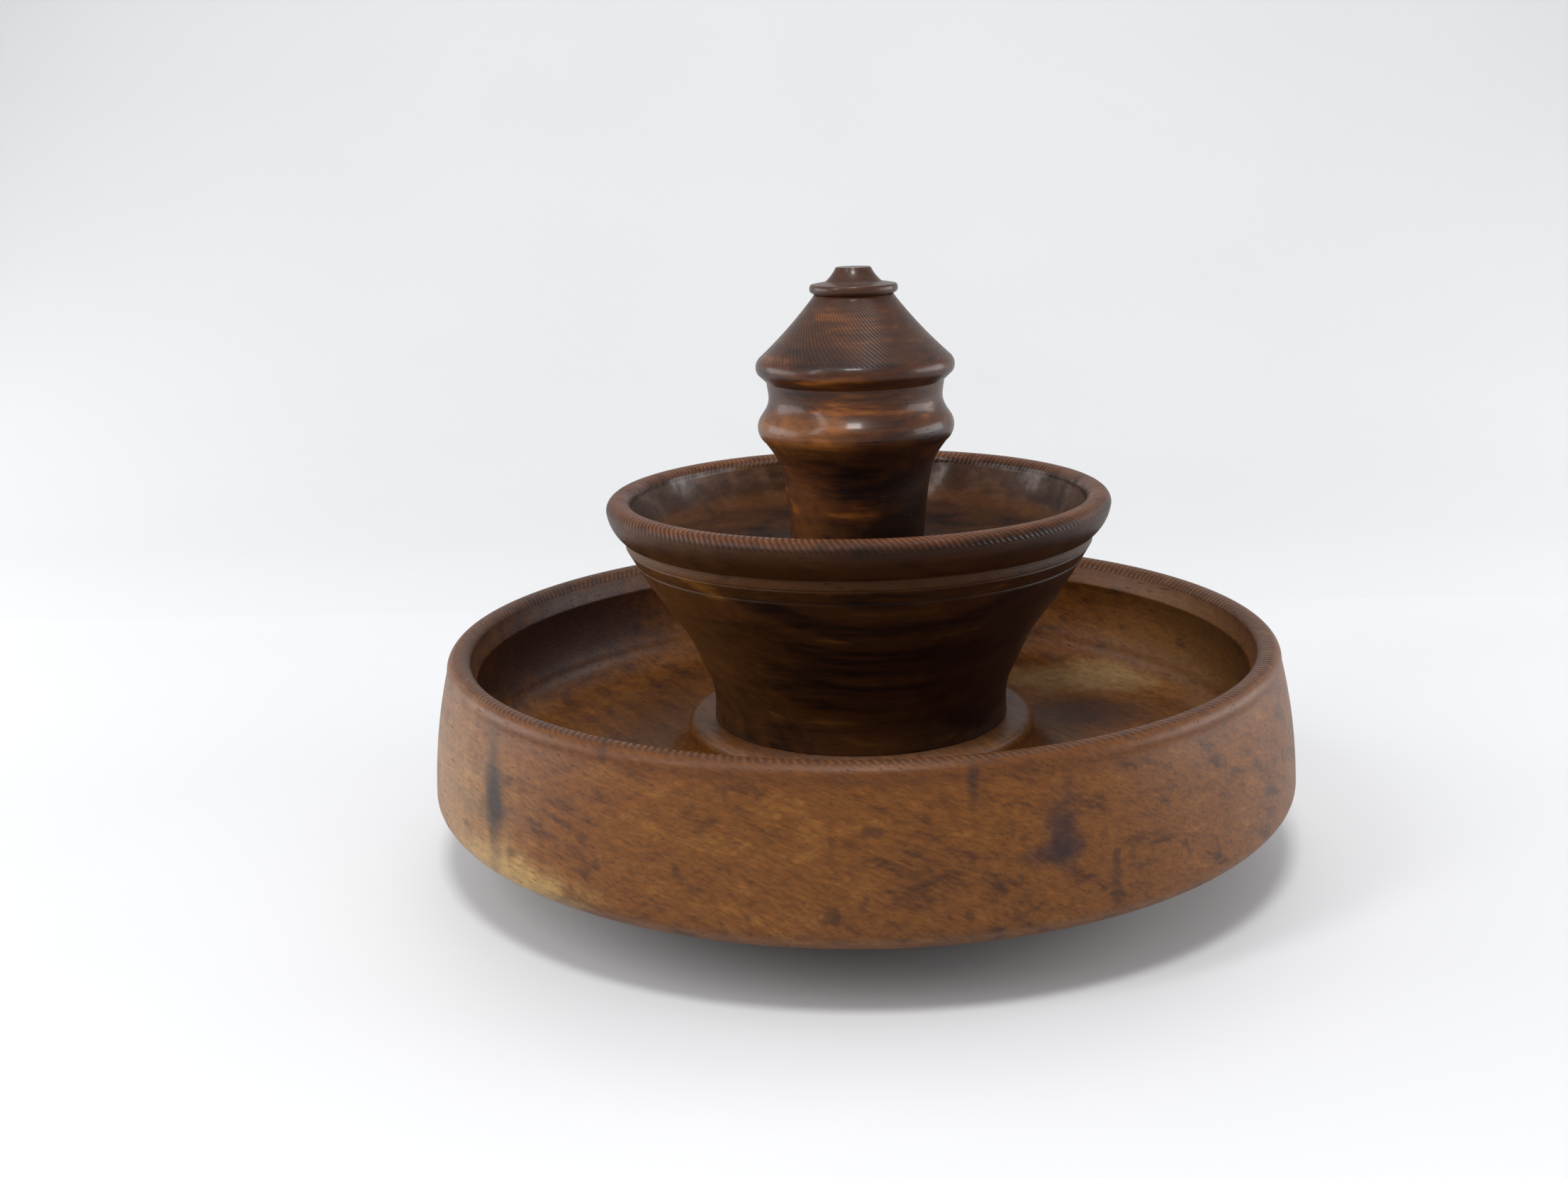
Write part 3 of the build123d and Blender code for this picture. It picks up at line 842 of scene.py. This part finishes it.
BOWL_WOOD = WoodFinish(
    **DARK_FIGURE,
    name="waxed_chocolate_wood",
    dark=(0.009, 0.004, 0.003),
    middle=(0.046, 0.016, 0.005),
    light=(0.180, 0.070, 0.012),
    grain=(0.0, 0.0, 80.0),
    pith=(-20.0, 20.0),
    ring=7.0,
    tone=(0.38, 0.70),
    mottle_size=4.0,
    streak_size=5.0,
    bend=6.0,
    fleck_strength=0.35,
    stains_and_painted_light=(
        # Painted shade: darker band under the rounded lip.
        StainOrPaintedLight((0, 0, 100.5), (200, 200, 4.5), (0.030, 0.010, 0.003), 0.65, 0.3, 0.5),
        StainOrPaintedLight((0, 0, 94.6), (200, 200, 2.0), (0.075, 0.026, 0.005), 0.6, 0.5, 0.8),
        # Lighter inside of the bowl: partly the wood's colour, partly painted sheen.
        StainOrPaintedLight((0, 0, 112), (66, 66, 36), (0.150, 0.062, 0.026), 0.45, 0.06, 0.1),
        # Painted shade: right front of the stem darker, partly darker wood.
        StainOrPaintedLight((50, -36, 66), (40, 36, 34), (0.008, 0.002, 0.002), 0.85, 0.6, 0.5),
        # Painted light: left of the stem lighter, partly its orange wood.
        StainOrPaintedLight((-46, -26, 76), (26, 30, 34), (0.110, 0.044, 0.009), 0.35, 0.7, 1.0),
        # Painted light: lighter band on the lip's top, partly its redder wood.
        StainOrPaintedLight((0, 0, 109.0), (90, 90, 4.0), (0.165, 0.056, 0.020), 0.75, 0.3, 0.3),
    ),
    marks=(
        ToolMarks((104.8, 109.0), (65.5, 75.0), count=250, slant=2.4, depth=4.0, shade=0.6),
    ),
    rough=(0.34, 0.48),
    gloss=0.11,
    waxed=StainOrPaintedLight((0, 0, 112), (66, 66, 36), strength=0.9, soft=0.06, ragged=0.1),
)

FINIAL_WOOD = WoodFinish(
    **DARK_FIGURE,
    name="waxed_handle_wood",
    dark=(0.010, 0.004, 0.004),
    middle=(0.053, 0.016, 0.005),
    light=(0.250, 0.078, 0.014),
    grain=(0.0, 0.0, 84.0),
    pith=(-25.0, 60.0),
    ring=5.0,
    tone=(0.38, 0.68),
    mottle_size=3.0,
    streak_size=4.0,
    bend=5.0,
    fleck_strength=0.3,
    stains_and_painted_light=(
        # Painted shade: darker right front of the handle's shaft.
        StainOrPaintedLight((15, -12, 98), (18, 26, 25), (0.008, 0.003, 0.002), 0.9, 0.5, 0.6),
        # Painted light: lighter left of the handle's shaft.
        StainOrPaintedLight((-16, -14, 96), (9, 14, 14), (0.160, 0.056, 0.012), 0.4, 0.8, 1.0),
        # Painted highlight: light spot on the top ridge's front left.
        StainOrPaintedLight((-18, -18, 127), (16, 16, 5), (0.240, 0.088, 0.020), 0.5, 0.8, 1.0),
        StainOrPaintedLight((0, 0, 155), (32, 32, 10), (0.062, 0.032, 0.020), 0.35, 0.5, 0.8),
        StainOrPaintedLight((0, 0, 170), (20, 20, 5), (0.040, 0.018, 0.010), 0.8, 0.3, 0.4),
    ),
    marks=(
        ToolMarks((146.5, 163.5), (11.5, 28.5), count=110, slant=3.2, depth=1.8, shade=0.5,
                  fade=0.6),
    ),
    rough=(0.32, 0.46),
    gloss=0.18,
    coat=0.14,
    seed=(20.0, 40.0, 0.0),
)

FOOT_WOOD = WoodFinish(
    name="stained_foot_wood",
    dark=(0.022, 0.011, 0.007),
    middle=(0.050, 0.024, 0.014),
    light=(0.085, 0.042, 0.024),
    pore=(0.012, 0.008, 0.006),
    grain=(0.0, 0.0, 12.0),
    pith=(10.0, -140.0),
    ring=3.0,
    rough=(0.45, 0.6),
)

DOWEL_WOOD = WoodFinish(
    name="plain_beech",
    dark=(0.42, 0.27, 0.15),
    middle=(0.55, 0.38, 0.22),
    light=(0.66, 0.48, 0.30),
    pore=(0.30, 0.17, 0.09),
    grain=(90.0, 0.0, 0.0),
    pith=(20.0, 5.0),
    ring=1.2,
    fleck_strength=0.3,
    rough=(0.5, 0.65),
)

FELT = FeltFinish("brown_felt", (0.035, 0.028, 0.022), (0.085, 0.070, 0.058))
ZINC = MetalFinish("zinc_plate", (0.62, 0.62, 0.60), (0.50, 0.51, 0.54), (0.28, 0.45))
RACE = MetalFinish("ground_steel", (0.55, 0.55, 0.56), (0.42, 0.41, 0.40), (0.25, 0.4))
BALLS = MetalFinish("polished_steel", (0.75, 0.75, 0.76), (0.70, 0.70, 0.72), (0.05, 0.12), 0.05)
BRASS = MetalFinish("turned_brass", (0.78, 0.57, 0.25), (0.55, 0.36, 0.14), (0.22, 0.38))
NYLON = MouldedFinish("moulded_nylon", (0.78, 0.74, 0.62), (0.70, 0.65, 0.53))
TABLE = CardFinish("white_table", (0.62, 0.62, 0.625), (0.60, 0.60, 0.61))
SWEEP = CardFinish("pale_sweep", (0.60, 0.60, 0.60), (0.585, 0.59, 0.595))


# ---- Sub-assemblies --------------------------


@dataclass
class Foot:
    """The disc that stands still, with its felt and its bush. Millimetres."""

    radius: float = 81.0
    top: float = 12.6
    felt_top: float = 1.5
    felt_radius: float = 76.0
    felt_hole: float = 16.0
    edge: float = 2.0
    web: float = 7.0
    counterbore: float = 10.0
    bore: float = 4.5
    race_floor: float = 9.0
    felt_swell: float = 0.12
    swell_size: float = 4.0
    lathe: Lathe = field(default_factory=Lathe)

    def build(self) -> None:
        """Build, dress and place the foot's pieces."""
        self._disc()
        self._felt()
        carry("pivot_bush", BRASS.make())
        carry("lower_race", RACE.make())
        carry("lower_race_screws", ZINC.make())

    def _disc(self) -> None:
        """Turn the disc, with its race seat above and its counterbore below."""
        slope = self.edge * (1 - math.sqrt(0.5))
        outline = Outline((self.bore, self.web))
        outline.lines((self.counterbore, self.web), (self.counterbore, self.felt_top),
                      (self.radius - self.edge, self.felt_top))
        outline.arc((self.radius - slope, self.felt_top + slope),
                    (self.radius, self.felt_top + self.edge))
        outline.lines((self.radius, self.top - self.edge))
        outline.arc((self.radius - slope, self.top - slope), (self.radius - self.edge, self.top))
        outline.lines((RACE_OUTER, self.top), (RACE_OUTER, self.race_floor),
                      (RACE_INNER, self.race_floor), (RACE_INNER, self.top),
                      (self.bore, self.top))
        piece = self.lathe.turn("foot_disc", outline.eased(0.25), closed=True)
        settle(piece, FOOT_WOOD.make(), Body.FOOT, "base_disc")

    def _felt(self) -> None:
        """Cut the felt ring: soft edges, and an underside that swells up a little in places."""
        outline = Outline((self.felt_hole, 0.0), pitch=0.5)
        outline.lines((self.felt_radius, 0.0), (self.felt_radius, self.felt_top),
                      (self.felt_hole, self.felt_top), (self.felt_hole, 0.3))
        lathe = Lathe(steps=192, wander=0.25, wander_size=5.0)
        piece = lathe.turn("felt_ring", outline.eased(0.45), closed=True)
        for vert in piece.data.vertices:
            if vert.co.z < 0.5 * self.felt_top * MM:
                lift = abs(noise.noise(vert.co / (self.swell_size * MM)))
                vert.co.z += lift * self.felt_swell * MM
        settle(piece, FELT.make(), Body.FOOT, "base_felt")


class BallRace:
    """The cage, its balls and the upper ring of the race."""

    def build(self) -> None:
        """Dress the race's frame nodes."""
        carry("ball_cage", NYLON.make())
        carry("bearing_balls", BALLS.make())
        carry("upper_race", RACE.make())
        carry("upper_race_screws", ZINC.make())


@dataclass
class LowerDish:
    """The deep lower dish: belly, rolled rim, undercut wall and middle boss. Millimetres."""

    underside: float = 13.4
    race_roof: float = 15.6
    nut_radius: float = 10.0
    nut_roof: float = 20.6
    socket_radius: float = 20.1
    socket_floor: float = 33.6
    belly: Point = (127.5, 25.5)
    rim_outer: Point = (122.2, 60.8)
    rim_crest: Point = (118.5, 65.0)
    rim_inner: Point = (115.2, 62.0)
    bevel_foot: Point = (113.8, 57.0)
    floor: float = 28.0
    boss_edge: Point = (49.4, 39.8)
    lathe: Lathe = field(default_factory=lambda: Lathe(steps=288, wander=0.12, wander_size=60.0))

    def build(self) -> None:
        """Turn, dress and place the dish."""
        outline = Outline((ROD_HOLE, self.nut_roof), pitch=1.1)
        outline.lines((self.nut_radius, self.nut_roof), (self.nut_radius, self.underside),
                      (RACE_INNER, self.underside), (RACE_INNER, self.race_roof),
                      (RACE_OUTER, self.race_roof), (RACE_OUTER, self.underside),
                      (104.0, self.underside))
        outline.curve((121.0, 18.3), self.belly, out=(1, 0), into=(0, 1))
        outline.arc((125.9, 43.0), self.rim_outer)
        outline.pitch = 0.45
        outline.arc((121.3, 63.8), self.rim_crest)
        outline.arc((116.2, 64.2), self.rim_inner)
        outline.pitch = 1.0
        outline.lines(self.bevel_foot)
        outline.arc((117.0, 46.5), (116.0, 36.5))
        outline.arc((113.3, 30.6), (107.0, self.floor))
        outline.lines((58.5, self.floor))
        outline.arc((54.0, 30.8), (52.0, 36.6))
        outline.pitch = 0.5
        outline.arc((51.3, 38.9), self.boss_edge)
        outline.pitch = 1.1
        outline.lines((self.socket_radius, self.boss_edge[1]),
                      (self.socket_radius, self.socket_floor), (ROD_HOLE, self.socket_floor))
        piece = self.lathe.turn("dish_body", outline.eased(0.5), closed=True)
        settle(piece, DISH_WOOD.make(), Body.DISH_SET, "dish")
        carry("locating_dowels", DOWEL_WOOD.make())


@dataclass
class PedestalBowl:
    """The trumpet stem and the small upper bowl, turned from one block. Millimetres."""

    tenon: Point = (20.0, 34.0)
    recess: Point = (38.0, 40.8)
    seat: float = 39.8
    foot_radius: float = 44.0
    neck_top: Point = (68.5, 93.6)
    lip_wide: Point = (73.7, 104.2)
    lip_crest: Point = (70.0, 107.5)
    lip_inner: Point = (66.5, 104.6)
    floor: float = 79.5
    groove_radius: float = 0.4
    lathe: Lathe = field(default_factory=lambda: Lathe(steps=256, wander=0.08, wander_size=50.0))

    def build(self) -> None:
        """Turn, dress and place the bowl."""
        outline = Outline((ROD_HOLE, self.tenon[1]), pitch=1.0)
        outline.lines(self.tenon, (self.tenon[0], self.recess[1]), self.recess,
                      (self.recess[0], self.seat), (self.foot_radius, self.seat))
        outline.pitch = 0.6
        outline.curve((44.4, 50.5), (47.4, 58.0), (51.3, 66.5), (57.5, 75.7), (64.0, 85.7),
                      self.neck_top)
        outline.lines((68.3, 96.2), (69.9, 96.8))
        outline.groove((65.95, 89.2), self.groove_radius)
        outline.groove((68.35, 93.2), self.groove_radius)
        outline.arc((72.5, 100.2), self.lip_wide)
        outline.arc((72.7, 106.6), self.lip_crest)
        outline.arc((67.6, 106.8), self.lip_inner)
        outline.pitch = 1.0
        outline.curve((63.5, 98.0), (57.0, 89.0), (46.5, 82.0), (34.0, self.floor))
        outline.lines((19.6, self.floor), (19.6, 78.5), (12.05, 78.5), (12.05, 76.2),
                      (ROD_HOLE, 76.2))
        piece = self.lathe.turn("bowl_body", outline.eased(0.3), closed=True)
        settle(piece, BOWL_WOOD.make(), Body.DISH_SET, "pedestal_bowl")


@dataclass
class Finial:
    """The handle with its two ridges and cone, and the cap let into its top. Millimetres."""

    insert_hole: Point = (5.0, 89.0)
    rod_hole_top: float = 105.0
    tenon: Point = (11.95, 76.4)
    shoulder: float = 78.5
    cap_hole: Point = (4.5, 152.6)
    cap_tenon: Point = (4.5, 153.0)
    ridge_low: Point = (26.6, 122.4)
    ridge_top: Point = (27.7, 129.6)
    neck: Point = (11.4, 164.4)
    height: float = 172.0
    lathe: Lathe = field(default_factory=lambda: Lathe(steps=192, wander=0.05, wander_size=20.0))

    def build(self) -> None:
        """Turn, dress and place the handle, its cap and its insert."""
        wood = FINIAL_WOOD.make()
        self._handle(wood)
        self._cap(wood)
        carry("finial_insert", BRASS.make())

    def _handle(self, wood: bpy.types.Material) -> None:
        """Turn the handle."""
        outline = Outline((0.0, self.rod_hole_top), pitch=0.6)
        outline.lines((ROD_HOLE, self.rod_hole_top), (ROD_HOLE, self.insert_hole[1]),
                      self.insert_hole, (self.insert_hole[0], self.tenon[1]), self.tenon,
                      (self.tenon[0], self.shoulder), (19.2, self.shoulder))
        outline.curve((19.7, 94.0), (21.0, 108.0), (23.4, 117.6), self.ridge_low)
        outline.arc((28.6, 127.0), self.ridge_top)
        outline.curve((25.4, 134.0), (25.8, 139.8), out=(-0.7, 1), into=(0.1, 1))
        outline.lines((28.3, 142.2))
        outline.arc((28.8, 144.2), (27.9, 146.4))
        outline.arc((19.0, 155.2), (12.1, 163.3))
        outline.lines(self.neck, (self.cap_hole[0], self.neck[1]), self.cap_hole,
                      (0.0, self.cap_hole[1]))
        piece = self.lathe.turn("finial_handle", outline.eased(0.35), closed=False)
        settle(piece, wood, Body.DISH_SET, "finial")

    def _cap(self, wood: bpy.types.Material) -> None:
        """Turn the cap's flange, button and tenon."""
        outline = Outline((0.0, self.cap_tenon[1]), pitch=0.35)
        outline.lines(self.cap_tenon, (self.cap_tenon[0], self.neck[1]), self.neck, (12.5, 165.1))
        outline.arc((12.7, 165.9), (12.3, 167.2))
        outline.lines((8.2, 167.9))
        outline.arc((6.2, 170.0), (5.0, self.height))
        outline.lines((0.0, self.height))
        piece = self.lathe.turn("finial_button", outline.eased(0.4), closed=False)
        settle(piece, wood, Body.DISH_SET, "finial_cap")


class TieRodSet:
    """The rod through the middle with its washers and nuts."""

    def build(self) -> None:
        """Dress the rod's frame nodes."""
        zinc = ZINC.make()
        for name in ("tie_rod", "clamp_washer", "clamp_nut", "keeper_washer", "keeper_nut"):
            carry(name, zinc)


@dataclass(frozen=True)
class SoftBox:
    """One soft box: where it hangs, the point that it faces, its width and height, its power."""

    name: str
    place: Place
    aim: Place
    size: Point
    watts: float

    def hang(self) -> None:
        """Hang the soft box."""
        data = bpy.data.lights.new(self.name, "AREA")
        data.shape = "RECTANGLE"
        data.size, data.size_y = self.size
        data.energy = self.watts
        light = bpy.data.objects.new(self.name, data)
        light.location = self.place
        light.rotation_mode = "QUATERNION"
        beam = Vector(self.aim) - Vector(self.place)
        light.rotation_quaternion = beam.to_track_quat("-Z", "Y")
        bpy.context.scene.collection.objects.link(light)
        LOG.info("%s: soft box of %g W", self.name, self.watts)


SOFT_BOXES = (
    SoftBox("window_box", (-0.92, -0.72, 0.95), (0.0, 0.0, 0.06), (0.22, 0.95), 7.0),
    SoftBox("front_box", (-0.03, -0.62, 1.24), (0.0, 0.0, 0.05), (0.28, 0.22), 10.0),
    SoftBox("top_box", (0.1, 0.60, 1.30), (0.0, 0.05, 0.05), (0.9, 0.5), 2.5),
    SoftBox("left_box", (-1.00, 0.10, 0.28), (0.0, 0.0, 0.05), (0.9, 0.45), 6.6),
    SoftBox("right_box", (1.00, 0.10, 0.28), (0.0, 0.0, 0.05), (0.9, 0.45), 7.4),
)


@dataclass
class Studio:
    """Pale table, sweep, soft lights, and the camera. Metres and radians, the lens in mm."""

    table_back: float = 0.28
    table_half: float = 0.9
    table_front: float = -1.2
    table_thick: float = 0.004
    table_top: float = -0.0001
    sweep_floor: float = -0.004
    sweep_bend: float = 0.7
    sweep_half: float = 2.4
    sweep_front: float = -1.6
    sweep_far: float = 1.15
    sweep_high: float = 1.6
    lens: float = 40.28
    sensor: float = 36.0
    camera_place: Place = (0.0, -0.5087, 0.2033)
    pitch: float = 0.2421
    yaw: float = -0.0438
    roll: float = -0.0276
    world: float = 0.60

    def build(self) -> None:
        """Set the stage, the lights and the camera."""
        self._table()
        self._sweep()
        self._lights()
        self._camera()

    def _table(self) -> None:
        """Lay the white table top, its back edge behind the dish."""
        mesh = bmesh.new()
        bmesh.ops.create_cube(mesh, size=1.0)
        size = (2 * self.table_half, self.table_back - self.table_front, self.table_thick)
        bmesh.ops.scale(mesh, vec=size, verts=mesh.verts)
        middle = (self.table_back + self.table_front) / 2
        drop = self.table_top - self.table_thick / 2
        bmesh.ops.translate(mesh, vec=(0.0, middle, drop), verts=mesh.verts)
        bmesh.ops.bevel(mesh, geom=list(mesh.edges), offset=0.0015, segments=3, profile=0.5,
                        affect="EDGES", material=-1)
        self._stage_piece("table_top", mesh, TABLE)

    def _sweep(self) -> None:
        """Hang the pale sweep: flat under the table, then curved up far behind it."""
        mesh = bmesh.new()
        floor, bend, count = self.sweep_floor, self.sweep_bend, 12
        start = self.sweep_far - bend
        points = [(self.sweep_front, floor), (start, floor)]
        for k in range(1, count + 1):
            t = math.pi / 2 * k / count
            points.append((start + bend * math.sin(t), floor + bend * (1 - math.cos(t))))
        points.append((self.sweep_far, self.sweep_high))
        verts = [mesh.verts.new((-self.sweep_half, y, z)) for y, z in points]
        edges = [mesh.edges.new(pair) for pair in zip(verts, verts[1:])]
        made = bmesh.ops.extrude_edge_only(mesh, edges=edges)
        moved = [item for item in made["geom"] if isinstance(item, bmesh.types.BMVert)]
        bmesh.ops.translate(mesh, vec=(2 * self.sweep_half, 0.0, 0.0), verts=moved)
        for face in mesh.faces:
            face.smooth = True
        self._stage_piece("sweep", mesh, SWEEP)

    def _stage_piece(self, name: str, mesh: bmesh.types.BMesh, finish: CardFinish) -> None:
        """Stand and dress a stage piece; it is not part of the object."""
        piece = stand(name, mesh)
        dress(piece, finish.make())
        LOG.info("%s: stage", name)

    def _lights(self) -> None:
        """Hang the soft boxes and give the room an even pale glow."""
        scene = bpy.context.scene
        world = bpy.data.worlds.new("pale_room")
        world.use_nodes = True
        glow = world.node_tree.nodes["Background"]
        glow.inputs["Color"].default_value = (0.93, 0.96, 1.0, 1.0)
        glow.inputs["Strength"].default_value = self.world
        scene.world = world
        for box in SOFT_BOXES:
            box.hang()
        scene.view_settings.view_transform = "Standard"

    def _camera(self) -> None:
        """Stand the camera in front of the dish, looking down on it."""
        forward = Vector((
            math.sin(self.yaw) * math.cos(self.pitch),
            math.cos(self.yaw) * math.cos(self.pitch),
            -math.sin(self.pitch),
        ))
        level = Vector((math.cos(self.yaw), -math.sin(self.yaw), 0.0))
        above = level.cross(forward)
        right = math.cos(self.roll) * level + math.sin(self.roll) * above
        top = math.cos(self.roll) * above - math.sin(self.roll) * level
        data = bpy.data.cameras.new("camera")
        data.lens = self.lens
        data.sensor_width = self.sensor
        data.clip_start, data.clip_end = 0.01, 20.0
        camera = bpy.data.objects.new("camera", data)
        camera.matrix_world = Matrix((
            (right.x, top.x, -forward.x, self.camera_place[0]),
            (right.y, top.y, -forward.y, self.camera_place[1]),
            (right.z, top.z, -forward.z, self.camera_place[2]),
            (0.0, 0.0, 0.0, 1.0),
        ))
        bpy.context.scene.collection.objects.link(camera)
        bpy.context.scene.camera = camera


def main() -> None:
    """Build every sub-assembly in order, then the studio."""
    logging.basicConfig(level=logging.INFO, format="%(name)s %(message)s")
    for part in (Foot(), BallRace(), LowerDish(), PedestalBowl(), Finial(), TieRodSet(), Studio()):
        part.build()
        LOG.info("%s done", type(part).__name__)


if __name__ == "__main__":
    main()
